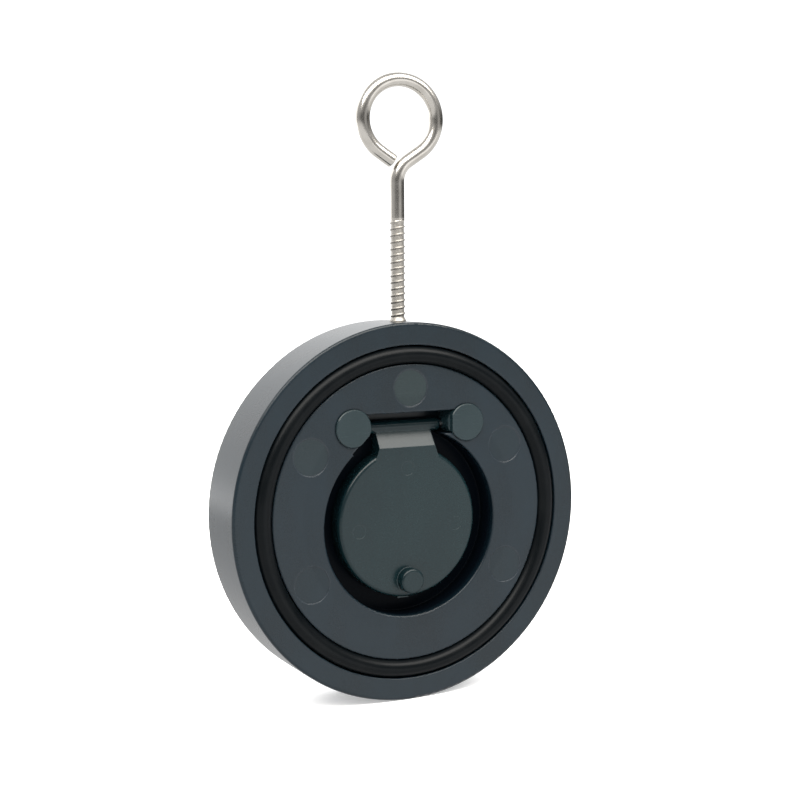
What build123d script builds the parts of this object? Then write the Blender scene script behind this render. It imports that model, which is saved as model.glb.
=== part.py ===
from build123d import *

import os
from math import cos, isclose, radians, sin, tan

# A wafer swing check valve for a DN 50 pipe, clamped between two flanges.
#
# The body is a moulded disc whose flow axis lies along Y. Flow comes in at the back (+Y), pushes
# the flap open and leaves at the front (-Y). +Z points up, to the eye screw. The origin is the
# centre of the disc, half way between its two sealing faces. Lengths are millimetres, and
# a depth is counted from the front sealing face towards the back.

# ---------------------------------------------------------------- body disc
body_radius = 54.5
body_thickness = 20.0
rim_round = 0.8
land_recess = 0.6
edge_round = 0.3

# Face seals: one O-ring in a groove on each side
outer_land_width = 6.4
face_ring_section = 5.33
face_ring_proud = 0.93
face_groove_side_gap = 0.085

# Flow passage
bore_radius = 16.0
bore_centre_z = -3.0
seat_edge_round = 0.4
inlet_flare = 2.0

# Front pocket for the flap
pocket_side_gap = 5.25
pocket_rise = 0.2
pocket_depth = 8.4
pocket_edge_round = 0.45

# Shallow round marks of the mould's ejector pins
mark_radius = 5.35
mark_groove_gap = 1.45
mark_depth = 0.15
mark_angles = (30, 90, 150, 210, 330)

# ---------------------------------------------------------------- hinge
pin_above_pocket = 0.1
pin_above_floor = 1.2
pin_radius = 1.1
pin_running_clearance = 0.05
pin_seat_clearance = 0.02
pin_reach_in_plug = 3.6
pin_chamfer = 0.25

# The flap's knuckle, and the slot in the body that it turns in
knuckle_wall = 0.75
knuckle_side_gap = 0.5
knuckle_bottom_gap = 0.3
knuckle_floor_gap = 0.5
knuckle_round = 0.8
slot_half_width = 14.0
slot_top_bite = 0.1
slot_edge_chamfer = 0.3

plug_radius = 5.4
plug_beyond_slot = 4.1
plug_rise = 0.8
plug_clearance = 0.05
plug_proud = 0.15
plug_chamfer = 0.25
plug_flat_inset = 0.55
plug_flat_depth = 1.8
left_flat_angle = -45
right_flat_angle = 180

# ---------------------------------------------------------------- flap
flap_beyond_ring = 3.15
flap_face_depth = 2.6
flap_seat_gap = 0.4
flap_front_round = 1.2
flap_back_round = 0.5

# Neck between disc and knuckle: heights are counted down from the pin
neck_foot_half_width = 10.0
neck_foot_drop = 8.9
neck_side_gap = 1.3
bevel_foot_half_width = 8.9
bevel_foot_drop = 5.7
bevel_top_half_width = 8.75
bevel_top_drop = 1.3
bevel_depth = 2.9
shoulder_inset = 1.6

knob_radius = 3.6
knob_inset = 5.05
knob_height = 3.2
knob_round = 0.7

flap_ring_section = 2.7
flap_ring_beyond_bore = 2.7
flap_ring_squash = 0.15
flap_groove_side_gap = 0.05

flap_mark_radius = 2.0
flap_mark_inset = 6.3
flap_mark_depth = 0.06
flap_mark_angles = (90, 186, 354)
gate_width = 3.4
gate_height = 2.0
gate_proud = 0.35
gate_x = -1.2

# ---------------------------------------------------------------- eye screw
wire_radius = 2.0
eye_depth = 8.4
eye_turn = -6.2
eye_ring_radius = 11.1
eye_ring_x = 0.85
eye_ring_height = 57.4
eye_mouth_angle = 34
eye_bend_radius = 7.0
eye_tail_length = 5.0
eye_tail_round = 0.4

thread_crest_rise = 0.15
thread_out_length = 29.6
thread_hole_clearance = 0.03
screw_depth = 17.5
screw_point_length = 3.0
screw_point_radius = 0.6
screw_flare_rise = 0.25
screw_flare_height = 1.3

# ---------------------------------------------------------------- worked out from the sizes above
front_y = -body_thickness / 2
back_y = body_thickness / 2
land_y = front_y + land_recess
face_groove_half_width = face_ring_section / 2 + face_groove_side_gap
face_groove_depth = face_ring_section - face_ring_proud
groove_outer = body_radius - outer_land_width
face_ring_radius = groove_outer - face_groove_half_width
groove_inner = face_ring_radius - face_groove_half_width
mark_circle_radius = groove_inner - mark_groove_gap - mark_radius

# The bore sets the seat ring, the ring sets the flap, and the flap sets the pocket round it
flap_ring_radius = bore_radius + flap_ring_beyond_bore
flap_radius = flap_ring_radius + flap_beyond_ring
flap_centre_z = bore_centre_z
pocket_radius = flap_radius + pocket_side_gap
pocket_centre_z = bore_centre_z + pocket_rise
pocket_floor_y = front_y + pocket_depth

# The pin lies just above the pocket, and the slot, the plugs and the neck follow the pin
hinge_z = pocket_centre_z + pocket_radius + pin_above_pocket
hinge_depth = pocket_depth - pin_above_floor
hinge_y = front_y + hinge_depth
knuckle_radius = pin_radius + pin_running_clearance + knuckle_wall
slot_bottom_z = hinge_z - knuckle_radius - knuckle_bottom_gap
slot_top_z = hinge_z + hinge_depth - flap_face_depth - slot_top_bite
slot_depth = hinge_depth + knuckle_radius + knuckle_floor_gap

plug_x = slot_half_width + plug_beyond_slot
plug_z = hinge_z + plug_rise
plug_hole_radius = plug_radius + plug_clearance
plug_hole_depth = hinge_depth + pin_radius + pin_seat_clearance
plug_flat_distance = plug_radius - plug_flat_inset
plug_inner_x = plug_x - plug_radius
knuckle_half_length = plug_inner_x - knuckle_side_gap
pin_half_length = plug_inner_x + pin_reach_in_plug

neck_foot_z = hinge_z - neck_foot_drop
bevel_foot_z = hinge_z - bevel_foot_drop
bevel_top_z = hinge_z - bevel_top_drop
shoulder_half_width = knuckle_half_length - shoulder_inset
knob_z = flap_centre_z - flap_radius + knob_inset
flap_mark_circle_radius = flap_radius - flap_mark_inset

flap_back_depth = pocket_depth - flap_seat_gap
flap_thickness = flap_back_depth - flap_face_depth
flap_ring_half = flap_ring_section / 2
flap_ring_depth = pocket_depth + flap_ring_squash - flap_ring_half
flap_groove_depth = flap_back_depth - (flap_ring_depth - flap_ring_half)
flap_groove_half_width = flap_ring_half + flap_groove_side_gap

eye_y = front_y + eye_depth
eye_ring_z = body_radius + eye_ring_height
thread_radius = wire_radius + thread_crest_rise
thread_top_z = body_radius + thread_out_length
screw_flare_radius = thread_radius + screw_flare_rise
screw_tip_z = body_radius - screw_depth
overshoot = 5.0


def at_depth(depth):
    """The plane at a depth behind the front sealing face, its normal towards the front."""
    return Plane.XZ.offset(body_thickness / 2 - depth)


def ring_at(z):
    """The axis along Y, the flow direction, at a height."""
    return Axis((0, 0, z), (0, 1, 0))


def on_circle(radius, angles, centre_z):
    """The points at these angles on a circle seen from the front."""
    return [
        (radius * cos(radians(angle)), centre_z + radius * sin(radians(angle)))
        for angle in angles
    ]


os.makedirs("parts", exist_ok=True)


# ================================================================ valve body
with BuildPart() as valve_body:
    # The disc with its grooves and recessed lands, turned from one half section
    with BuildSketch(Plane.XY) as half_section:
        with BuildLine():
            Polyline(
                (0, land_y),
                (groove_inner, land_y),
                (groove_inner, front_y + face_groove_depth),
                (groove_outer, front_y + face_groove_depth),
                (groove_outer, front_y),
                (body_radius, front_y),
                (body_radius, back_y),
                (groove_outer, back_y),
                (groove_outer, back_y - face_groove_depth),
                (groove_inner, back_y - face_groove_depth),
                (groove_inner, -land_y),
                (0, -land_y),
                close=True,
            )
        make_face()
        fillet(half_section.vertices().group_by(Axis.X)[-1], rim_round)
        fillet(
            half_section.vertices().filter_by(
                lambda v: (isclose(v.X, groove_inner) and isclose(abs(v.Y), back_y - land_recess))
                or (isclose(v.X, groove_outer) and isclose(abs(v.Y), back_y))
            ),
            edge_round,
        )
    revolve(axis=Axis.Y)

    # Pocket for the flap, with a rounded mouth
    with BuildSketch(Plane.XY.offset(pocket_centre_z)):
        with BuildLine():
            Polyline(
                (pocket_radius, land_y + pocket_edge_round),
                (pocket_radius, pocket_floor_y),
                (0, pocket_floor_y),
                (0, front_y - overshoot),
                (pocket_radius + pocket_edge_round, front_y - overshoot),
                (pocket_radius + pocket_edge_round, land_y),
            )
            CenterArc(
                (pocket_radius + pocket_edge_round, land_y + pocket_edge_round),
                pocket_edge_round,
                start_angle=180,
                arc_size=90,
            )
        make_face()
    revolve(axis=ring_at(pocket_centre_z), mode=Mode.SUBTRACT)

    # Slot for the knuckle, with a small chamfer round its mouth and a way through to the pocket
    # for the neck
    slot_width = 2 * slot_half_width
    slot_height = slot_top_z - slot_bottom_z
    slot_middle_z = (slot_top_z + slot_bottom_z) / 2
    with BuildSketch(at_depth(0)):
        with Locations((0, slot_middle_z)):
            Rectangle(slot_width, slot_height)
    extrude(amount=-slot_depth, mode=Mode.SUBTRACT)
    with BuildSketch(at_depth(0)):
        with Locations((0, slot_middle_z)):
            Rectangle(
                2 * (neck_foot_half_width + neck_side_gap),
                slot_middle_z - bevel_foot_z,
                align=(Align.CENTER, Align.MAX),
            )
    extrude(amount=-pocket_depth, mode=Mode.SUBTRACT)
    with BuildSketch(at_depth(land_recess)):
        with Locations((0, slot_middle_z)):
            Rectangle(slot_width + 2 * slot_edge_chamfer, slot_height + 2 * slot_edge_chamfer)
    extrude(amount=-slot_edge_chamfer, taper=45, mode=Mode.SUBTRACT)

    # Round holes that the hinge plugs are pressed into, just deep enough to bed the pin's ends
    with BuildSketch(at_depth(0)):
        with Locations((-plug_x, plug_z), (plug_x, plug_z)):
            Circle(plug_hole_radius)
    extrude(amount=-plug_hole_depth, mode=Mode.SUBTRACT)

    # Corner beside the left plug, cut straight along the plug's flat
    with BuildSketch(at_depth(0)):
        with Locations(Location((-plug_x, plug_z, 0), (0, 0, left_flat_angle))):
            with Locations((plug_flat_distance, 0)):
                Rectangle(plug_radius, 2 * plug_radius, align=(Align.MIN, Align.CENTER))
    extrude(amount=-plug_hole_depth, mode=Mode.SUBTRACT)

    # Flow passage: a rounded seat edge inside, a flared inlet at the back
    with BuildSketch(Plane.XY.offset(bore_centre_z)):
        with BuildLine():
            Polyline(
                (bore_radius + seat_edge_round, pocket_floor_y),
                (bore_radius + seat_edge_round, pocket_floor_y - seat_edge_round),
                (0, pocket_floor_y - seat_edge_round),
                (0, back_y + overshoot),
                (bore_radius + inlet_flare, back_y + overshoot),
                (bore_radius + inlet_flare, -land_y),
            )
            CenterArc(
                (bore_radius + inlet_flare, -land_y - inlet_flare),
                inlet_flare,
                start_angle=90,
                arc_size=90,
            )
            Line(
                (bore_radius, -land_y - inlet_flare),
                (bore_radius, pocket_floor_y + seat_edge_round),
            )
            CenterArc(
                (bore_radius + seat_edge_round, pocket_floor_y + seat_edge_round),
                seat_edge_round,
                start_angle=180,
                arc_size=90,
            )
        make_face()
    revolve(axis=ring_at(bore_centre_z), mode=Mode.SUBTRACT)

    # Ejector marks, sunk a little below the front land
    with BuildSketch(at_depth(land_recess)):
        with Locations(*on_circle(mark_circle_radius, mark_angles, 0)):
            Circle(mark_radius)
    extrude(amount=-mark_depth, mode=Mode.SUBTRACT)

    # Blind hole in the rim for the eye screw
    with BuildSketch(Plane.XY.offset(screw_tip_z)):
        with Locations((0, eye_y)):
            Circle(thread_radius + thread_hole_clearance)
    extrude(amount=screw_depth + overshoot, mode=Mode.SUBTRACT)
valve_body.part.label = "valve_body"
export_step(valve_body.part, "parts/valve_body.step")


# ================================================================ face seals
for side, outward in (("outlet", -1), ("inlet", 1)):
    with BuildPart() as face_ring:
        ring_y = outward * (body_thickness / 2 - face_groove_depth + face_ring_section / 2)
        with BuildSketch(Plane.XY):
            with Locations((face_ring_radius, ring_y)):
                Circle(face_ring_section / 2)
        revolve(axis=Axis.Y)
    face_ring.part.label = f"{side}_face_ring"
    export_step(face_ring.part, f"parts/{side}_face_ring.step")


# ================================================================ hinge pin
with BuildPart() as hinge_pin:
    with BuildSketch(Plane.YZ.offset(-pin_half_length)):
        with Locations((hinge_y, hinge_z)):
            Circle(pin_radius)
    extrude(amount=2 * pin_half_length)
    chamfer(hinge_pin.edges().filter_by(GeomType.CIRCLE), pin_chamfer)
hinge_pin.part.label = "hinge_pin"
export_step(hinge_pin.part, "parts/hinge_pin.step")


# ================================================================ hinge plugs
# Each plug is pushed in from the front over one end of the pin. A notch across its back holds
# the pin down, and a flat on its head shows which way round it sits.
for side, outward, flat_angle in (("left", -1, left_flat_angle), ("right", 1, right_flat_angle)):
    with BuildPart() as hinge_plug:
        plug_face = at_depth(-plug_proud)
        with BuildSketch(plug_face):
            with Locations((outward * plug_x, plug_z)):
                Circle(plug_radius)
        extrude(amount=-(plug_hole_depth + plug_proud))
        chamfer(hinge_plug.edges().group_by(Axis.Y)[0], plug_chamfer)

        with BuildSketch(plug_face):
            with Locations(Location((outward * plug_x, plug_z, 0), (0, 0, flat_angle))):
                with Locations((plug_flat_distance, 0)):
                    Rectangle(plug_radius, 2 * plug_radius, align=(Align.MIN, Align.CENTER))
        extrude(amount=-(plug_flat_depth + plug_proud), mode=Mode.SUBTRACT)

        notch_radius = pin_radius + pin_seat_clearance
        with BuildSketch(Plane.YZ.offset(outward * (pin_half_length + pin_seat_clearance))):
            with Locations((hinge_y, hinge_z)):
                Circle(notch_radius)
                Rectangle(plug_hole_depth, 2 * notch_radius, align=(Align.MIN, Align.CENTER))
        extrude(amount=-outward * 2 * plug_radius, mode=Mode.SUBTRACT)
    hinge_plug.part.label = f"{side}_hinge_plug"
    export_step(hinge_plug.part, f"parts/{side}_hinge_plug.step")


# ================================================================ flap
# The arm between disc and knuckle: a side section carried across the width, trimmed to the
# outline that the arm has from the front.
with BuildPart() as flap_arm:
    flap_face_y = front_y + flap_face_depth
    flap_back_y = front_y + flap_back_depth
    with BuildSketch(Plane.YZ.offset(-shoulder_half_width)):
        with BuildLine():
            Polyline(
                (flap_face_y, flap_centre_z),
                (flap_face_y, bevel_foot_z),
                (flap_face_y + bevel_depth, bevel_top_z),
                (hinge_y - knuckle_radius, hinge_z),
                (flap_back_y, hinge_z),
                (flap_back_y, flap_centre_z),
                close=True,
            )
        make_face()
    extrude(amount=2 * shoulder_half_width)
    with BuildSketch(at_depth(0)):
        with BuildLine() as right_half:
            Polyline(
                (0, flap_centre_z),
                (neck_foot_half_width, flap_centre_z),
                (neck_foot_half_width, neck_foot_z),
                (bevel_foot_half_width, bevel_foot_z),
                (bevel_top_half_width, bevel_top_z),
                (shoulder_half_width, hinge_z),
                (0, hinge_z),
            )
            mirror(about=Plane.YZ)
        make_face()
    extrude(amount=-body_thickness, mode=Mode.INTERSECT)

# The round knuckle that the pin runs through
with BuildPart() as knuckle:
    with BuildSketch(Plane.YZ.offset(-knuckle_half_length)):
        with Locations((hinge_y, hinge_z)):
            Circle(knuckle_radius)
    extrude(amount=2 * knuckle_half_length)
    fillet(knuckle.edges().filter_by(GeomType.CIRCLE), knuckle_round)

with BuildPart() as flap:
    with BuildSketch(at_depth(flap_face_depth)):
        with Locations((0, flap_centre_z)):
            Circle(flap_radius)
    extrude(amount=-flap_thickness)
    fillet(flap.edges().group_by(Axis.Y)[0], flap_front_round)
    fillet(flap.edges().group_by(Axis.Y)[-1], flap_back_round)

    # Gate stub left at the bottom of the moulding
    with BuildSketch(Plane.XY.offset(flap_centre_z - flap_radius - gate_proud)):
        with Locations((gate_x, flap_face_y + flap_front_round)):
            Rectangle(gate_width, gate_height, align=(Align.CENTER, Align.MIN))
    extrude(amount=2)

    add(flap_arm.part)
    add(knuckle.part)

    # Knob that meets the pipe wall and keeps the flap from opening past square
    with BuildSketch(at_depth(flap_face_depth)):
        with Locations((0, knob_z)):
            Circle(knob_radius)
    extrude(amount=knob_height)
    fillet(flap.edges().group_by(Axis.Y)[0], knob_round)

    # Groove for the seat ring in the back face
    with BuildSketch(at_depth(flap_back_depth)):
        with Locations((0, flap_centre_z)):
            Circle(flap_ring_radius + flap_groove_half_width)
            Circle(flap_ring_radius - flap_groove_half_width, mode=Mode.SUBTRACT)
    extrude(amount=flap_groove_depth, mode=Mode.SUBTRACT)

    # Bore through the knuckle for the pin
    with BuildSketch(Plane.YZ.offset(-knuckle_half_length)):
        with Locations((hinge_y, hinge_z)):
            Circle(pin_radius + pin_running_clearance)
    extrude(amount=2 * knuckle_half_length, mode=Mode.SUBTRACT)

    # Ejector marks on the front face
    with BuildSketch(at_depth(flap_face_depth)):
        with Locations(*on_circle(flap_mark_circle_radius, flap_mark_angles, flap_centre_z)):
            Circle(flap_mark_radius)
    extrude(amount=-flap_mark_depth, mode=Mode.SUBTRACT)
flap.part.label = "flap"
export_step(flap.part, "parts/flap.step")


# ================================================================ seat ring in the flap
with BuildPart() as flap_ring:
    with BuildSketch(Plane.XY.offset(flap_centre_z)):
        with Locations((flap_ring_radius, front_y + flap_ring_depth)):
            Circle(flap_ring_half)
        # The seat presses the ring's crown flat
        with Locations((flap_ring_radius, pocket_floor_y)):
            Rectangle(
                flap_ring_section,
                flap_ring_section,
                align=(Align.CENTER, Align.MIN),
                mode=Mode.SUBTRACT,
            )
    revolve(axis=ring_at(flap_centre_z))
flap_ring.part.label = "flap_ring"
export_step(flap_ring.part, "parts/flap_ring.step")


# ================================================================ eye screw
# One wire: a ring with an open mouth at the bottom, a bend into the straight shank, and
# a screw thread whose crests are a little thicker than the wire. Screwed home, its ring stands
# turned a little out of the disc's plane.
eye_mouth = radians(eye_mouth_angle)
along = Vector(cos(eye_mouth), sin(eye_mouth))
ring_start = Vector(eye_ring_x, eye_ring_z) + eye_ring_radius * Vector(sin(eye_mouth), -cos(eye_mouth))
bend_end_x = eye_bend_radius * (1 - sin(eye_mouth))
bend_end_z = ring_start.Y - (ring_start.X - bend_end_x) * tan(eye_mouth)
bend_start_z = bend_end_z - eye_bend_radius * cos(eye_mouth)
eye_angle = radians(eye_turn)
eye_plane = Plane(
    origin=(0, eye_y, 0),
    x_dir=(cos(eye_angle), sin(eye_angle), 0),
    z_dir=(sin(eye_angle), -cos(eye_angle), 0),
)

with BuildPart() as eye_screw:
    with BuildLine(eye_plane) as wire_path:
        shank = Line((0, thread_top_z), (0, bend_start_z))
        bend = CenterArc(
            (eye_bend_radius, bend_start_z),
            eye_bend_radius,
            start_angle=180,
            arc_size=eye_mouth_angle - 90,
        )
        throat = Line((bend_end_x, bend_end_z), (ring_start.X, ring_start.Y))
        ring = CenterArc(
            (eye_ring_x, eye_ring_z),
            eye_ring_radius,
            start_angle=eye_mouth_angle - 90,
            arc_size=360 - 2 * eye_mouth_angle,
        )
        tail_start = Vector(2 * eye_ring_x - ring_start.X, ring_start.Y)
        tail_end = tail_start + eye_tail_length * Vector(along.X, -along.Y)
        tail = Line((tail_start.X, tail_start.Y), (tail_end.X, tail_end.Y))
    with BuildSketch(Plane.XY.offset(thread_top_z)):
        with Locations((0, eye_y)):
            Circle(wire_radius)
    sweep(path=wire_path.wires()[0])
    tail_rim = eye_screw.edges().filter_by(GeomType.CIRCLE).sort_by_distance(
        eye_plane.from_local_coords((tail_end.X, tail_end.Y, 0))
    )[0]
    fillet(tail_rim, eye_tail_round)

    with BuildSketch(Plane.XZ.offset(-eye_y)):
        with BuildLine():
            Polyline(
                (0, screw_tip_z),
                (screw_point_radius, screw_tip_z),
                (thread_radius, screw_tip_z + screw_point_length),
                (thread_radius, body_radius),
                (screw_flare_radius, body_radius),
                (thread_radius, body_radius + screw_flare_height),
                (thread_radius, thread_top_z),
                (0, thread_top_z),
                close=True,
            )
        make_face()
    revolve(axis=Axis((0, eye_y, 0), (0, 0, 1)))
eye_screw.part.label = "eye_screw"
export_step(eye_screw.part, "parts/eye_screw.step")
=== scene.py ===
# %% [markdown]
# # A wafer check valve, finished around its CAD frame
#
# The valve is a thick grey plastic disc that is clamped between two pipe flanges. A hinged flap
# lies in a pocket in its front, an O-ring stands in a groove on each face, and a wire eye screwed
# into the rim is there to lower it into place.
#
# The CAD model already holds every size, fit and joint. This script loads it as a frame that
# never moves, and then works on what the eye sees: the wire with its rolled thread, the rubber,
# and a finish for each plastic and steel surface.

# %% Load the frame
from math import cos, pi, radians, sin, tan

import bpy
import numpy as np
from mathutils import Matrix, Vector


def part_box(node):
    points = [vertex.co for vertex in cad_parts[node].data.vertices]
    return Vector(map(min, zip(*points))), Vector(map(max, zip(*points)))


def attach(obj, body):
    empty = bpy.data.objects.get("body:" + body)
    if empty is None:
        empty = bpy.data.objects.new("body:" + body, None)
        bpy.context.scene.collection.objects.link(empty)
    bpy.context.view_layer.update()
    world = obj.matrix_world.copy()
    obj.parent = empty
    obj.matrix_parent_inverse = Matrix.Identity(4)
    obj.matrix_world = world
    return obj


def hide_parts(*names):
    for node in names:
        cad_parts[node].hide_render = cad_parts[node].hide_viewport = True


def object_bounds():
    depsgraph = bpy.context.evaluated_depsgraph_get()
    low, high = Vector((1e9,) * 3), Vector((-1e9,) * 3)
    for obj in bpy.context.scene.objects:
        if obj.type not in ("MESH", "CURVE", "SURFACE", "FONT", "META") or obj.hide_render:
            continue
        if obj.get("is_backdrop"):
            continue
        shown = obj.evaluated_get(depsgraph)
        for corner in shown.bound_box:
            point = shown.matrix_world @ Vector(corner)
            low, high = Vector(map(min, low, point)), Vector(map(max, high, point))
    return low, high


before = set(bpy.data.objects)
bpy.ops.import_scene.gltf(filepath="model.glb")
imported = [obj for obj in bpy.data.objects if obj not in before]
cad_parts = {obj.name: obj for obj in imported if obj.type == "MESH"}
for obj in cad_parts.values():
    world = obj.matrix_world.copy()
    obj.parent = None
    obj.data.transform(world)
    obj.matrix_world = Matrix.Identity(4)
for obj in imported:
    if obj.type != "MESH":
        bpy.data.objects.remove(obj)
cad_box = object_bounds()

mm = 0.001
body_low, body_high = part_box("valve_body")
front_y = body_low.y
rim_top_z = body_high.z
print("disc:", round((body_high.x - body_low.x) / mm, 2), "mm across,",
      round((body_high.y - body_low.y) / mm, 2), "mm thick")

# %% [markdown]
# ## The camera
#
# The valve is seen from a little to its left and a little above, so that the rim shows as a wide
# band on the left and the eye stands clear on top. A camera is easiest to trust when it is built
# from the point it looks at: an azimuth and an elevation give the direction back to the camera,
# and a distance puts it there. Three direction vectors then make the camera's own axes.

# %% Camera
view_azimuth = radians(-26.705)
view_elevation = radians(5.463)
view_roll = radians(-0.324)
view_distance = 428.9 * mm
aim_right = -3.45 * mm
aim_up = 32.46 * mm
sensor_in_mm = 36
lens_in_mm = 67.58
nearest_seen = 10 * mm

toward_camera = Vector((
    sin(view_azimuth) * cos(view_elevation),
    -cos(view_azimuth) * cos(view_elevation),
    sin(view_elevation),
))
level_right = Vector((cos(view_azimuth), sin(view_azimuth), 0))
level_up = toward_camera.cross(level_right)
aim = Vector((0, front_y, 0)) + level_right * aim_right + level_up * aim_up

camera_data = bpy.data.cameras.new("camera")
camera_data.sensor_width = sensor_in_mm
camera_data.lens = lens_in_mm
camera_data.clip_start = nearest_seen
camera = bpy.data.objects.new("camera", camera_data)
bpy.context.scene.collection.objects.link(camera)
camera_axes = Matrix((level_right, level_up, toward_camera)).transposed()
turned = camera_axes @ Matrix.Rotation(view_roll, 3, "Z")
camera.matrix_world = Matrix.Translation(aim + toward_camera * view_distance) @ turned.to_4x4()
bpy.context.scene.camera = camera
print("camera stands", round(view_distance / mm), "mm from the disc")

# %% [markdown]
# ## Shader arithmetic
#
# A procedural finish is a sum of small patterns: a mottle, a grain, a few scratches. Wiring those
# by hand hides the sums, so one small class wraps a socket and lets Python write them down.
# `1 - mask` or `grain * 0.2 + mottle` then adds the Math nodes by itself. Every other kind of node
# comes from the one method `node`, which sets a node's options first and its sockets after.


# %% The socket class
class Shade:
    """A shader socket that arithmetic works on: each expression adds its Math nodes."""

    def __init__(self, tree, socket=None):
        self.tree = tree
        self.socket = socket

    def node(self, kind, settings=None, sockets=None, output=0):
        """Adds one node, sets its settings, then gives its sockets their values or links."""
        made = self.tree.nodes.new(kind)
        for name, value in (settings or {}).items():
            if name == "stops":
                self.set_stops(made.color_ramp, value)
            else:
                setattr(made, name, value)
        for name, value in (sockets or {}).items():
            if isinstance(value, Shade):
                self.tree.links.new(value.socket, made.inputs[name])
            else:
                made.inputs[name].default_value = value
        return Shade(self.tree, made.outputs[output])

    @staticmethod
    def set_stops(ramp, stops):
        """Gives a colour ramp its stops: pairs of a place and a grey level."""
        while len(ramp.elements) < len(stops):
            ramp.elements.new(1)
        for element, (place, level) in zip(ramp.elements, stops):
            element.position = place
            element.color = (level, level, level, 1)

    def math(self, operation, *values):
        return self.node("ShaderNodeMath", {"operation": operation}, dict(enumerate(values)))

    def __add__(self, other):
        return self.math("ADD", self, other)

    def __sub__(self, other):
        return self.math("SUBTRACT", self, other)

    def __rsub__(self, other):
        return self.math("SUBTRACT", other, self)

    def __mul__(self, other):
        return self.math("MULTIPLY", self, other)

    __radd__ = __add__
    __rmul__ = __mul__

    def ramp(self, *stops):
        """A grey ramp through the given (place, level) stops."""
        return self.node("ShaderNodeValToRGB", {"stops": stops}, {"Fac": self})

    def noise(self, where, scale, detail=2.0, roughness=0.5):
        """Noise between 0 and 1 whose blobs are about 1 / scale metres wide."""
        sockets = {"Vector": where, "Scale": scale, "Detail": detail, "Roughness": roughness}
        return self.node("ShaderNodeTexNoise", {}, sockets)

    def blend(self, factor, first, second):
        """A colour between two colours."""
        sockets = {0: factor, 6: first, 7: second}
        return self.node("ShaderNodeMix", {"data_type": "RGBA"}, sockets, output=2)

    def stretch(self, where, scale):
        """Coordinates multiplied by three numbers, which draws a pattern out into streaks."""
        return self.node("ShaderNodeVectorMath", {"operation": "MULTIPLY"}, {0: where, 1: scale})

    def split(self, where):
        """The x, y and z of some coordinates, as three shades."""
        return [self.node("ShaderNodeSeparateXYZ", {}, {0: where}, output=axis) for axis in "XYZ"]


# %% [markdown]
# ## Making a finish
#
# Every finish starts from one Principled shader. Numbers that are the same all over the surface
# are written on its sockets, and only what varies is linked. Edges are the giveaway of a computer
# model, because a real moulded edge always has a small radius that catches the light. The edges
# could be rounded in the mesh, but then the fits between the pieces would change with the looks.
# A Bevel node gives each CAD edge its radius in the shading alone, and the angle between its
# normal and the true one also tells where the edges are. There handling polishes plastic, which
# lowers the roughness, and the tint is made lighter as a painted highlight.


# %% Helpers for a finish
def start_finish(name, **numbers):
    """A new material: gives back the material, its Principled node and a Shade to build with."""
    material = bpy.data.materials.new(name)
    material.use_nodes = True
    principled = material.node_tree.nodes["Principled BSDF"]
    for socket, value in numbers.items():
        principled.inputs[socket.replace("_", " ")].default_value = value
    return material, principled, Shade(material.node_tree)


def link(principled, **shades):
    """Links shades to the Principled node's sockets."""
    for socket, shade in shades.items():
        shade.tree.links.new(shade.socket, principled.inputs[socket.replace("_", " ")])


def place_on_object(shade):
    """Coordinates that are fixed to the piece, in metres."""
    return shade.node("ShaderNodeTexCoord", output="Object")


def soft_edges(shade, radius):
    """A normal that rounds the edges by a radius, and a mask that is 1 on the edges."""
    rounded = shade.node("ShaderNodeBevel", {"samples": 6}, {"Radius": radius})
    true = shade.node("ShaderNodeNewGeometry", output="Normal")
    match = shade.node(
        "ShaderNodeVectorMath", {"operation": "DOT_PRODUCT"}, {0: rounded, 1: true}, output="Value"
    )
    return rounded, (1 - match).ramp((0.01, 0), (0.25, 1))


def bump(shade, height, depth, normal=None):
    """Bump of a real depth in metres, from a height between 0 and 1."""
    sockets = {"Height": height, "Distance": depth, "Strength": 1.0}
    if normal is not None:
        sockets["Normal"] = normal
    return shade.node("ShaderNodeBump", {}, sockets)


# %% [markdown]
# ## Moulded plastic
#
# The disc, the flap and the hinge plugs are injection moulded in rigid PVC. It comes out of a
# polished mould satin: dark blue-grey, with a faint mottle where the melt flowed, an orange-peel
# ripple about two millimetres across and a few microns deep, and hair-fine scuffs from handling.
# A scanned sample could be wrapped on, but noise in object space needs no unwrapping and holds
# at any distance. One function makes the three plastics, which differ in tint, shine and edges.
#
# The disc has two things more. The round ends of the mould's ejector pins left marks on its front
# face, each a trace paler than the plastic round it. And the deep pocket gets painted shade: light
# that falls into it is lost between its dark walls, so there the satin is mixed with a dull, nearly
# black surface that stands in for that shade.


# %% The painted shade in the pocket, and where the ejector pins pushed
pocket_reach = 34 * mm
mark_circle = 35.8 * mm
mark_radius = 5.35 * mm
mark_strengths = {30: 0.1, 90: 0.6, 150: 0.3, 210: 0.05, 330: 0.1}
mark_tint = (0.012, 0.021, 0.021, 1)
# The pocket's painted shade: a nearly black tint, and how much of it is mixed in.
painted_pocket_shade = (0.0009, 0.0015, 0.0026, 1)
pocket_shade_share = 0.92
depth_unit = 20 * mm
print("ejector marks:", len(mark_strengths), "on a circle of", round(mark_circle / mm, 1), "mm")


def pocket_shade_mask(shade, where):
    """Painted shade: 1 on the walls and floor of the front pocket, 0 on every other surface of the
    disc.

    The depth behind the front face is measured in lengths of 20 mm: the mask rises from
    0.5 to 3.6 mm, stays to just behind the pocket's floor, and is gone at 10 mm. It also
    fades out where (x^2 + z^2) comes to the square of the pocket's reach.
    """
    x, y, z = shade.split(where)
    depth = (y - front_y) * (1 / depth_unit)
    inside = 1 - (x * x + z * z) * (1 / pocket_reach**2)
    return depth.ramp((0.025, 0), (0.18, 1), (0.44, 1), (0.50, 0)) * inside.ramp((0, 0), (0.05, 1))


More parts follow.
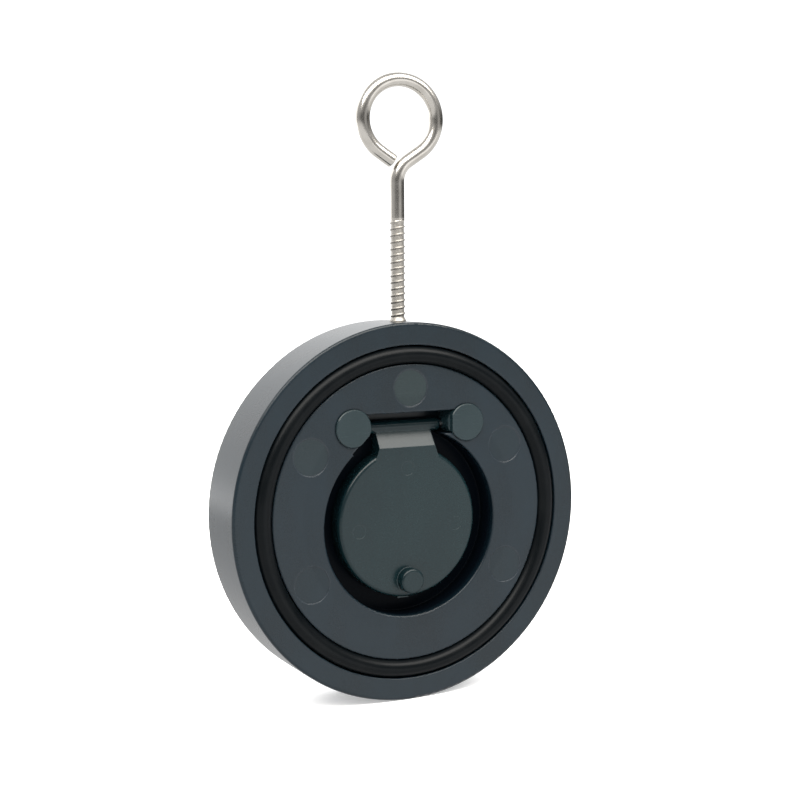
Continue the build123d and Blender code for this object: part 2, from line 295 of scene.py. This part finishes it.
def ejector_marks(shade, where):
    """Up to 1 on the round marks of the front face, one for each angle round its axis.

    Inside a mark, (x - cx)^2 + (z - cz)^2 is below its radius squared. The marks are only
    on the front, so the mask is gone 1 mm behind the face.
    """
    x, y, z = shade.split(where)
    total = 0
    for angle, strength in mark_strengths.items():
        from_x = x - mark_circle * cos(radians(angle))
        from_z = z - mark_circle * sin(radians(angle))
        spread = (from_x * from_x + from_z * from_z) * (1 / mark_radius**2)
        total = spread.ramp((0.86, strength), (0.96, 0)) + total
    return total * ((y - front_y) * (1 / mm)).ramp((0.8, 1), (1.0, 0))


# %% Plastic finishes
def moulded_plastic(name, dark, light, shine, gloss, speck_and_edge_highlight, edge_radius, is_disc=False):
    """Satin PVC: mottled between two tints, rippled, scuffed, polished and given a painted highlight
    on its edges.

    The height is 0.7 ripple + 0.12 grain - 0.12 scuffs, six microns deep at most. Only the
    disc has the ejector marks and the painted shade in its pocket.
    """
    material, principled, shade = start_finish(name, IOR=1.53, Specular_IOR_Level=shine)
    where = place_on_object(shade)
    rounded, edges = soft_edges(shade, edge_radius)

    flow = shade.noise(shade.stretch(where, (1, 1, 0.45)), 70, detail=3)
    speck = shade.noise(where, 1500, detail=1)
    tint = shade.blend(flow.ramp((0.3, 0), (0.7, 1)), dark, light)
    tint = shade.blend(speck.ramp((0.62, 0), (0.8, 0.06)), tint, speck_and_edge_highlight)
    if is_disc:
        tint = shade.blend(ejector_marks(shade, where), tint, mark_tint)
    # Painted highlight: the edges are tinted lighter. The same tint also colours the random specks
    # above.
    tint = shade.blend(edges * 0.8, tint, speck_and_edge_highlight)

    ripple = shade.noise(where, 480, detail=2)
    grain = shade.noise(where, 5200, detail=1)
    scuff_field = shade.noise(shade.stretch(where, (1, 1, 26)), 160, detail=4, roughness=0.7)
    scuffs = scuff_field.ramp((0.64, 0), (0.70, 1))
    height = ripple * 0.7 + grain * 0.12 + scuffs * -0.12
    roughness = flow * 0.07 + grain * 0.05 + scuffs * 0.10 - edges * 0.08 + gloss
    link(principled, Base_Color=tint, Roughness=roughness, Normal=bump(shade, height, 6e-6, rounded))
    if is_disc:
        # Painted shade: the deep pocket is mixed into a dull, nearly black diffuse surface.
        dull = shade.node("ShaderNodeBsdfDiffuse", {}, {"Color": painted_pocket_shade})
        surface = Shade(material.node_tree, principled.outputs["BSDF"])
        factor = pocket_shade_mask(shade, where) * pocket_shade_share
        mixed = shade.node("ShaderNodeMixShader", {}, {0: factor, 1: surface, 2: dull})
        output = material.node_tree.nodes["Material Output"]
        shade.tree.links.new(mixed.socket, output.inputs["Surface"])
    return material


body_plastic = moulded_plastic(
    "grey_plastic",
    dark=(0.002, 0.006, 0.009, 1),
    light=(0.003, 0.009, 0.014, 1),
    shine=0.31,
    gloss=0.22,
    speck_and_edge_highlight=(0.050, 0.058, 0.068, 1),
    edge_radius=0.65 * mm,
    is_disc=True,
)
flap_plastic = moulded_plastic(
    "flap_plastic",
    dark=(0.002, 0.008, 0.010, 1),
    light=(0.003, 0.011, 0.013, 1),
    shine=0.29,
    gloss=0.20,
    speck_and_edge_highlight=(0.055, 0.070, 0.074, 1),
    edge_radius=0.3 * mm,
)
plug_plastic = moulded_plastic(
    "plug_plastic",
    dark=(0.004, 0.012, 0.014, 1),
    light=(0.007, 0.016, 0.019, 1),
    shine=0.32,
    gloss=0.20,
    speck_and_edge_highlight=(0.060, 0.075, 0.082, 1),
    edge_radius=0.2 * mm,
)
print("plastics:", body_plastic.name, flap_plastic.name, plug_plastic.name)

# %% [markdown]
# ## Rubber
#
# O-rings are moulded in EPDM rubber. New rubber is nearly black with a soft, wide sheen. It has
# no grain, but it picks up dust and talc, which show as faint paler clouds and specks. A plain
# black shader would look like a hole, so the dust is worked into the tint and the roughness.


# %% Rubber finish
rubber_tint = (0.0012, 0.0020, 0.0026, 1)
dust_tint = (0.006, 0.007, 0.0075, 1)


def ring_rubber():
    """Smooth black rubber with a thin, uneven veil of dust: half clouds and half specks."""
    material, principled, shade = start_finish("black_rubber", IOR=1.5, Specular_IOR_Level=0.11)
    where = place_on_object(shade)
    cloud = shade.noise(where, 130, detail=4)
    speck = shade.noise(where, 2600, detail=1)
    dust = cloud.ramp((0.45, 0), (0.75, 0.5)) * 0.5 + speck.ramp((0.66, 0), (0.78, 0.6)) * 0.5
    tint = shade.blend(dust, rubber_tint, dust_tint)
    roughness = cloud * 0.10 + dust * 0.12 + 0.25
    pores = shade.noise(where, 3800, detail=2)
    link(principled, Base_Color=tint, Roughness=roughness, Normal=bump(shade, pores, 5e-6))
    return material


rubber = ring_rubber()
print("rubber:", rubber.name)

# %% [markdown]
# ## Steel
#
# The eye is bent from bright drawn stainless wire: nearly a mirror, but drawn out along its
# length into fine lines, so its reflections are stretched and slightly broken. The rolled thread
# has been squeezed between dies and is duller. Its crests get a darker tint, which is painted
# shade. The lines have to follow the wire round its bends, so this finish reads two attributes
# that the wire's own mesh carries. One is the way along the wire with a point on the unit circle
# round it, which has no seam. The other is how near a place is to the top of the thread's crest,
# which places the painted shade.


# %% Steel finishes
bright_tints = (0.50, 0.475, 0.435, 1), (0.58, 0.555, 0.515, 1)
rolled_tints = (0.35, 0.33, 0.30, 1), (0.45, 0.43, 0.395, 1)
painted_crest_shade = (0.16, 0.15, 0.14, 1)
pin_tints = (0.52, 0.52, 0.51, 1), (0.64, 0.63, 0.62, 1)
rolled_fade = 600


def drawn_wire(thread_top):
    """Bright drawn wire above a height, duller rolled steel below it.

    The change is (thread top - z) * 600, held between 0 and 1, so it takes 1.7 mm.
    """
    material, principled, shade = start_finish("bright_steel", Metallic=1.0)
    where = place_on_object(shade)
    height_z = shade.node("ShaderNodeSeparateXYZ", {}, {0: where}, output="Z")
    along = shade.node("ShaderNodeAttribute", {"attribute_name": "along_wire"}, output="Vector")
    crest = shade.node("ShaderNodeAttribute", {"attribute_name": "thread_crest"}, output="Fac")
    rolled = ((thread_top - height_z) * rolled_fade).ramp((0, 0), (1, 1))

    lines = shade.noise(shade.stretch(along, (60, 14, 14)), 1, detail=3, roughness=0.6)
    cloud = shade.noise(where, 260, detail=3)
    pits = shade.noise(where, 1900, detail=2)
    bright = shade.blend(cloud.ramp((0.35, 0), (0.7, 1)), *bright_tints)
    dull = shade.blend(pits.ramp((0.35, 0), (0.65, 1)), *rolled_tints)
    # Painted shade: the thread's crests are tinted darker.
    dull = shade.blend(crest.ramp((0.55, 0), (0.95, 0.75)), dull, painted_crest_shade)
    tint = shade.blend(rolled, bright, dull)
    roughness = lines * 0.08 + cloud * 0.05 + 0.14 + rolled * 0.28
    height = lines * 0.8 + rolled * pits * 1.6
    link(principled, Base_Color=tint, Roughness=roughness, Normal=bump(shade, height, 6e-6))
    return material


def ground_pin():
    """Ground stainless steel, with fine rings round the pin, which lies along X."""
    material, principled, shade = start_finish("pin_steel", Metallic=1.0)
    where = place_on_object(shade)
    rings = shade.noise(shade.stretch(where, (9, 1, 1)), 900, detail=3, roughness=0.7)
    stain = shade.noise(where, 220, detail=3)
    tint = shade.blend(stain.ramp((0.4, 0), (0.7, 1)), *pin_tints)
    link(principled, Base_Color=tint, Roughness=rings * 0.2 + 0.2, Normal=bump(shade, rings, 4e-6))
    return material


# %% [markdown]
# ## A skin from a grid of points
#
# Each new piece below is one surface: a grid of points whose rows run along the piece and whose
# columns run round it. The points are worked out as whole arrays, and one function turns any such
# grid into a closed mesh. It joins the last column to the first, and either joins the last row
# to the first, as in a ring, or closes each end with a fan to a point.


# %% The skin function
def skin(name, points, material, ring=False, sharp_angle=35):
    """A closed mesh over points[row, column]: quads between neighbours, wrapped round the columns.

    Vertex number = row * columns + column, so each face is four such numbers, made as arrays.
    The sign of the enclosed volume, a sum of triple products, tells if the faces point inwards.
    """
    rows, columns = points.shape[:2]
    here = np.arange(rows * columns).reshape(rows, columns)
    lower = here if ring else here[:-1]
    upper = np.roll(here, -1, axis=0) if ring else here[1:]
    quads = np.stack([lower, np.roll(lower, -1, 1), np.roll(upper, -1, 1), upper], axis=-1)
    quads = quads.reshape(-1, 4)
    corners = points.reshape(-1, 3)
    a, b, c, d = (corners[quads[:, k]] for k in range(4))
    volume = (np.cross(a, b) * c + np.cross(a, c) * d).sum() / 6
    faces = quads.tolist()
    if not ring:
        ends = np.array([points[0].mean(0), points[-1].mean(0)])
        corners = np.concatenate([corners, ends])
        first, last = rows * columns, rows * columns + 1
        faces += np.stack([np.roll(here[0], -1), here[0], np.full(columns, first)], axis=-1).tolist()
        faces += np.stack([here[-1], np.roll(here[-1], -1), np.full(columns, last)], axis=-1).tolist()
    if volume < 0:
        faces = [face[::-1] for face in faces]
    mesh = bpy.data.meshes.new(name)
    mesh.from_pydata(corners.tolist(), [], faces)
    mesh.shade_smooth()
    mesh.set_sharp_from_angle(angle=radians(sharp_angle))
    mesh.materials.append(material)
    piece = bpy.data.objects.new(name, mesh)
    bpy.context.scene.collection.objects.link(piece)
    print(f"{name}: {len(corners)} points, {abs(volume) / mm**3:.0f} mm3")
    return piece


# %% [markdown]
# ## The eye screw
#
# The real eye is one piece of 4 mm wire: a screw thread rolled on its end, a straight shank, a
# bend, and a ring whose end comes back almost to the bend. A curve with a round bevel would give
# the wire but not the thread, and a Screw modifier would give the thread but not the wire. So both
# are one surface here. The middle line is a chain of runs, each with a length and a curvature,
# and the radius is a function of the way along and the angle round.


# %% The wire's middle line
wire_radius = 2.0 * mm
core_radius = 1.85 * mm
crest_height = 0.27 * mm
thread_pitch = 1.9 * mm
mouth_angle = radians(34)
bend_radius = 7.0 * mm
tail_length = 5.0 * mm

eye_turn = radians(-6.2)
ring_offset = 0.85 * mm
ring_radius = 11.1 * mm

thread_showing = 29.6 * mm
wire_low, wire_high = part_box("eye_screw")
wire_y = (wire_low.y + wire_high.y) / 2 - ring_offset * sin(eye_turn)
ring_z = wire_high.z - wire_radius - ring_radius
thread_top_z = rim_top_z + thread_showing

ring_start_x = ring_offset + ring_radius * sin(mouth_angle)
ring_start_z = ring_z - ring_radius * cos(mouth_angle)
bend_end_x = bend_radius * (1 - sin(mouth_angle))
bend_end_z = ring_start_z - (ring_start_x - bend_end_x) * tan(mouth_angle)
bend_start_z = bend_end_z - bend_radius * cos(mouth_angle)

runs = [
    (bend_start_z - wire_low.z, 0.0),
    (bend_radius * (pi / 2 - mouth_angle), -1 / bend_radius),
    ((ring_start_x - bend_end_x) / cos(mouth_angle), 0.0),
    (ring_radius * (2 * pi - 2 * mouth_angle), 1 / ring_radius),
    (tail_length, 0.0),
]
wire_length = sum(length for length, _ in runs)
print("wire length:", round(wire_length / mm, 1), "mm")


def middle_line(s):
    """Points and headings of the wire's middle line at the distances s along it.

    Each run starts where the last one ended. On a straight run the point moves by the distance
    times (cos h, sin h), where h is the heading; on an arc of curvature k the heading grows by k
    per metre, and the point moves by ((sin h1 - sin h0) / k, (cos h0 - cos h1) / k).
    """
    x = np.zeros_like(s)
    z = np.zeros_like(s)
    heading = np.zeros_like(s)
    start_x, start_z, start_heading, begin = 0.0, wire_low.z, pi / 2, 0.0
    for length, curvature in runs:
        inside = s >= begin - 1e-9
        u = s[inside] - begin
        turn = start_heading + curvature * u
        end_turn = start_heading + curvature * length
        if curvature:
            x[inside] = start_x + (np.sin(turn) - sin(start_heading)) / curvature
            z[inside] = start_z + (cos(start_heading) - np.cos(turn)) / curvature
            start_x += (sin(end_turn) - sin(start_heading)) / curvature
            start_z += (cos(start_heading) - cos(end_turn)) / curvature
        else:
            x[inside] = start_x + u * cos(start_heading)
            z[inside] = start_z + u * sin(start_heading)
            start_x += length * cos(start_heading)
            start_z += length * sin(start_heading)
        heading[inside] = turn
        start_heading = end_turn
        begin += length
    return x, z, heading


# %% The wire's radius
point_length = 3.0 * mm
point_share = 0.3
crest_start = 0.4 * mm
crest_half_width = 0.21
flare_height = 1.3 * mm
flare_radius = 2.4 * mm
flare_sunk = 0.3 * mm
thread_length = thread_top_z - wire_low.z
run_out = 2.2 * mm
tail_round = 0.45 * mm
print("threaded length:", round(thread_length / mm, 1), "mm")


def smooth_step(value, low, high):
    """0 below low, 1 above high, and a smooth S between them: 3t^2 - 2t^3."""
    t = np.clip((value - low) / (high - low), 0, 1)
    return t * t * (3 - 2 * t)


def wire_skin_radius(s, angle):
    """Radius of the wire at the distance s along it and the angle round it.

    The plain wire is one radius. Below the thread's top it is a thinner core with a crest that
    climbs one pitch for each turn: its phase is s / pitch - angle / 2 pi, which is a right-hand
    screw. The crest is a rounded hump, it fades out at both ends, and the core narrows towards
    the tip, which a fan of faces closes. Just above the rim it spreads in a small flare. The
    last of the tail is a quarter round. The crest's height between 0 and 1 comes back too, for
    the finish.
    """
    phase = np.mod(s / thread_pitch - angle / (2 * pi), 1.0)
    hump = smooth_step(1 - np.abs(phase - 0.5) / crest_half_width, 0.0, 0.95)
    fade = smooth_step(thread_length - s, 0.0, run_out) * smooth_step(s, crest_start, point_length)
    crest = hump * fade
    above_run_out = smooth_step(s, thread_length - run_out, thread_length)
    core = core_radius + (wire_radius - core_radius) * above_run_out
    narrowing = smooth_step(s, -point_length / 2, point_length)
    core = core * (point_share + (1 - point_share) * narrowing)
    radius = core + crest_height * crest
    above_rim = s - (rim_top_z - wire_low.z)
    flare_share = 1 - smooth_step(above_rim, 0.0, flare_height)
    flare = core_radius + (flare_radius - core_radius) * flare_share
    radius = np.where(above_rim > -flare_sunk, np.maximum(radius, flare), radius)
    to_end = np.clip(wire_length - s, 0, tail_round)
    radius = radius - tail_round + np.sqrt(np.maximum(tail_round**2 - (tail_round - to_end) ** 2, 0))
    return radius, crest


# %% The rows and columns of the wire's surface
wire_columns = 64
thread_row_gap = 0.085 * mm
plain_rows = 190
tail_rows = 7
in_thread = np.linspace(0, thread_length, int(thread_length / thread_row_gap))
above_thread = np.linspace(thread_length, wire_length - tail_round, plain_rows)[1:]
in_tail = wire_length - tail_round * (1 - np.sin(np.linspace(0, pi / 2, tail_rows)[1:]))
stations = np.concatenate([in_thread, above_thread, in_tail])
angles = np.linspace(0, 2 * pi, wire_columns, endpoint=False)
print("wire grid:", len(stations), "rows of", wire_columns)

# %% The wire's surface
# At each station the points lie round the middle line in the plane across its heading. The whole
# eye is then turned about the shank by t: x' = x cos t - y sin t, and y' = x sin t + y cos t.

line_x, line_z, heading = middle_line(stations)
radius, crest = wire_skin_radius(stations[:, None], angles[None, :])
across = line_x[:, None] + radius * np.sin(heading)[:, None] * np.cos(angles)
behind = radius * np.sin(angles)
wire_points = np.stack([
    across * cos(eye_turn) - behind * sin(eye_turn),
    wire_y + across * sin(eye_turn) + behind * cos(eye_turn),
    line_z[:, None] - radius * np.cos(heading)[:, None] * np.cos(angles),
], axis=-1)

wire_finish = drawn_wire(thread_top_z)
eye_screw = skin("eye_screw_wire", wire_points, wire_finish, sharp_angle=60)

# %% What the wire's finish reads: the way along and the crest, with the two end points last
way_along = np.stack(np.broadcast_arrays(stations[:, None], np.cos(angles), np.sin(angles)), axis=-1)
way_along = np.concatenate([way_along.reshape(-1, 3), [[0, 0, 0], [wire_length, 0, 0]]])
along_wire = eye_screw.data.attributes.new("along_wire", "FLOAT_VECTOR", "POINT")
along_wire.data.foreach_set("vector", way_along.astype(np.float32).ravel())
thread_crest = eye_screw.data.attributes.new("thread_crest", "FLOAT", "POINT")
thread_crest.data.foreach_set("value", np.append(crest.ravel(), [0, 0]).astype(np.float32))
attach(eye_screw, "body")
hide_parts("eye_screw")

# %% [markdown]
# ## The O-rings
#
# An O-ring is a torus, but a moulded one is never quite the torus of a textbook. The mould's two
# halves leave a hair of flash round the inside and the outside, and where it was pushed into its
# groove by hand it lies a few hundredths of a millimetre high or low. The flap's ring is pressed
# on the seat, so its crown is flat. One function makes all three.


# %% O-rings
flap_cord = 2.7 * mm
settle_height = 0.035 * mm
flash_height = 0.05 * mm
flash_width = 0.05
ring_rows = 288
ring_columns = 56


def o_ring(name, node, centre_z, crown_y=None, waves=3):
    """A rubber ring round the Y axis, as thick and as wide as its CAD node.

    A point is at ring radius + r cos(a) from the axis and at r sin(a) along it. The flash adds
    its height times exp(-(sin a / width)^2) to r in the first, a small bump at a = 0 and a = pi.
    The settling adds a slow wave of the way round to r in the second, so the crown is a little
    high or low. A flat crown cuts the Y values off.
    """
    low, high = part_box(node)
    outer = (high.x - low.x) / 2
    full_high = high.y if crown_y is None else low.y + flap_cord
    section = (full_high - low.y) / 2
    way_round = np.linspace(0, 2 * pi, ring_rows, endpoint=False)[:, None]
    round_section = np.linspace(0, 2 * pi, ring_columns, endpoint=False)[None, :]
    wave = 1 + np.sin(waves * way_round + 0.7) * 0.6 + np.sin(5 * way_round) * 0.4
    settle = settle_height * wave / 2
    flash = flash_height * np.exp(-((np.sin(round_section) / flash_width) ** 2))
    thin = section - flash_height
    reach = outer - section + (thin + flash) * np.cos(round_section)
    y = (full_high + low.y) / 2 + (thin + settle) * np.sin(round_section)
    if crown_y is not None:
        y = np.minimum(y, crown_y)
    y = np.broadcast_to(y, (way_round.size, round_section.size))
    x = reach * np.cos(way_round)
    z = centre_z + reach * np.sin(way_round)
    ring = skin(name, np.stack([x, y, z], axis=-1), rubber, ring=True, sharp_angle=50)
    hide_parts(node)
    return ring


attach(o_ring("outlet_o_ring", "outlet_face_ring", 0.0), "body")
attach(o_ring("inlet_o_ring", "inlet_face_ring", 0.0, waves=4), "body")
flap_ring_low, flap_ring_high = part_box("flap_ring")
flap_ring_z = (flap_ring_low.z + flap_ring_high.z) / 2
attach(o_ring("flap_o_ring", "flap_ring", flap_ring_z, crown_y=flap_ring_high.y), "flap")

# %% [markdown]
# ## Finishes for the CAD pieces
#
# The disc, the flap, the plugs and the pin keep their CAD meshes, which are already exact to
# a few hundredths of a millimetre, so they only need their finish. The CAD nodes that a new
# piece stands in for are hidden, and get the same finish as that piece.

# %% Give each CAD node its finish
pin_finish = ground_pin()
finishes = {
    "valve_body": body_plastic,
    "flap": flap_plastic,
    "left_hinge_plug": plug_plastic,
    "right_hinge_plug": plug_plastic,
    "hinge_pin": pin_finish,
    "eye_screw": wire_finish,
    "outlet_face_ring": rubber,
    "inlet_face_ring": rubber,
    "flap_ring": rubber,
}
for node, finish in finishes.items():
    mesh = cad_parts[node].data
    mesh.materials.clear()
    mesh.materials.append(finish)
print("finished", len(finishes), "CAD nodes")

# %% [markdown]
# ## Floor, background and light
#
# The valve stands on its rim on a white floor in a white room. Dark satin plastic and bright wire
# show almost nothing of their own colour: what the eye reads is what they reflect. In an all
# white room the wire would vanish, so the room has two sides. The camera and the soft light see
# plain white. A reflection sees a dome instead: dim walls with a brighter patch on the left and
# another at the front on the right, a light ceiling, and a bright ground. The floor itself is
# kept out of reflections, because the dome's ground takes its place. Two large panels finish the
# job: one behind on the left, whose light runs along the rim, and a wide one above the front.

# %% Floor
floor_half = 3.0
floor_z = body_low.z
floor_white = (0.9, 0.9, 0.9, 1)
floor_glow = 0.35
floor_mesh = bpy.data.meshes.new("floor")
floor_mesh.from_pydata(
    [(-floor_half, -floor_half, floor_z), (floor_half, -floor_half, floor_z),
     (floor_half, floor_half, floor_z), (-floor_half, floor_half, floor_z)],
    [], [(0, 1, 2, 3)],
)
floor_paint, floor_shader, _ = start_finish("floor_paint", Roughness=0.9)
floor_shader.inputs["Base Color"].default_value = floor_white
floor_shader.inputs["Emission Color"].default_value = (1, 1, 1, 1)
floor_shader.inputs["Emission Strength"].default_value = floor_glow
floor_mesh.materials.append(floor_paint)
floor = bpy.data.objects.new("floor", floor_mesh)
bpy.context.scene.collection.objects.link(floor)
floor.visible_glossy = False
floor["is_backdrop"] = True
print("floor at", round(floor_z / mm, 2), "mm")

# %% The dome that reflections see
white_strength = 1.25
wall_strength = 0.04
ceiling_strength = 0.8
ground_strength = 1.05
front_right_turn = radians(24)
back_left_turn = radians(27)


def reflected_dome(room):
    """How bright the dome is in each direction (x, y, z), a vector of length 1.

    How far a direction points towards a patch is its dot product with the way to the patch,
    and a ramp of that gives the patch a soft edge. The walls fade out into the ceiling as z
    rises to 0.5, and into the ground as soon as z is below 0. The ground has a brighter pool
    at the front on the right and a fainter one behind on the left.
    """
    x, y, z = room.split(room.node("ShaderNodeTexCoord", output="Generated"))
    leftward = x * -cos(view_azimuth) - y * sin(view_azimuth)
    front_right = x * sin(front_right_turn) - y * cos(front_right_turn)
    back_left = y * cos(back_left_turn) - x * sin(back_left_turn)
    patches = leftward.ramp((0.4, 0), (0.95, 0.5)) + front_right.ramp((0.88, 0), (0.98, 0.32))
    walls = patches + wall_strength
    overhead = z.ramp((0.10, 0), (0.50, 1))
    below = (z * -1).ramp((0, 0), (0.05, 1))
    pools = front_right.ramp((0.85, 0), (0.95, 0.65)) + back_left.ramp((0.7, 0), (0.9, 0.2))
    ground = pools + ground_strength
    return walls * (1 - overhead) * (1 - below) + overhead * ceiling_strength + below * ground


# %% Room
world = bpy.data.worlds.new("studio")
world.use_nodes = True
bpy.context.scene.world = world
room = Shade(world.node_tree)
background = world.node_tree.nodes["Background"]
background.inputs["Color"].default_value = (1, 1, 1, 1)
mirrored = room.node("ShaderNodeLightPath", output="Is Glossy Ray")
strength = (1 - mirrored) * white_strength + mirrored * reflected_dome(room)
room.tree.links.new(strength.socket, background.inputs["Strength"])
print("room:", len(world.node_tree.nodes), "nodes")


# %% Lights
def panel(name, azimuth, elevation, distance, width, height, power, tint=(1, 1, 1)):
    """A soft rectangular light at a direction and distance from the disc, facing it.

    The angles are in degrees, the azimuth from straight in front towards the right. The sizes
    are in metres and the power is in watts.
    """
    a, e = radians(azimuth), radians(elevation)
    away = Vector((sin(a) * cos(e), -cos(a) * cos(e), sin(e)))
    data = bpy.data.lights.new(name, "AREA")
    data.shape = "RECTANGLE"
    data.size = width
    data.size_y = height
    data.energy = power
    data.color = tint
    lamp = bpy.data.objects.new(name, data)
    bpy.context.scene.collection.objects.link(lamp)
    turn = away.to_track_quat("Z", "Y").to_matrix().to_4x4()
    lamp.matrix_world = Matrix.Translation(away * distance) @ turn
    lamp.visible_camera = False
    print(f"{name}: {width} x {height} m, {power} W")


panel("back_left_panel", azimuth=-173, elevation=22, distance=1.1, width=1.7, height=1.2, power=9)
panel(
    "top_front_panel",
    azimuth=-5,
    elevation=57,
    distance=1.0,
    width=2.0,
    height=0.55,
    power=27,
    tint=(1, 0.97, 0.92),
)

# %% Colours straight from the light, so that white stays white
bpy.context.scene.view_settings.view_transform = "Standard"

# %% [markdown]
# ## The size of the CAD and the visual model
#
# The visual model must not outgrow the CAD model. The box of each is printed.

visual_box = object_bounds()
for name, corners in (("cad", cad_box), ("visual", visual_box)):
    print(name, [[round(v / mm, 2) for v in corner] for corner in corners])
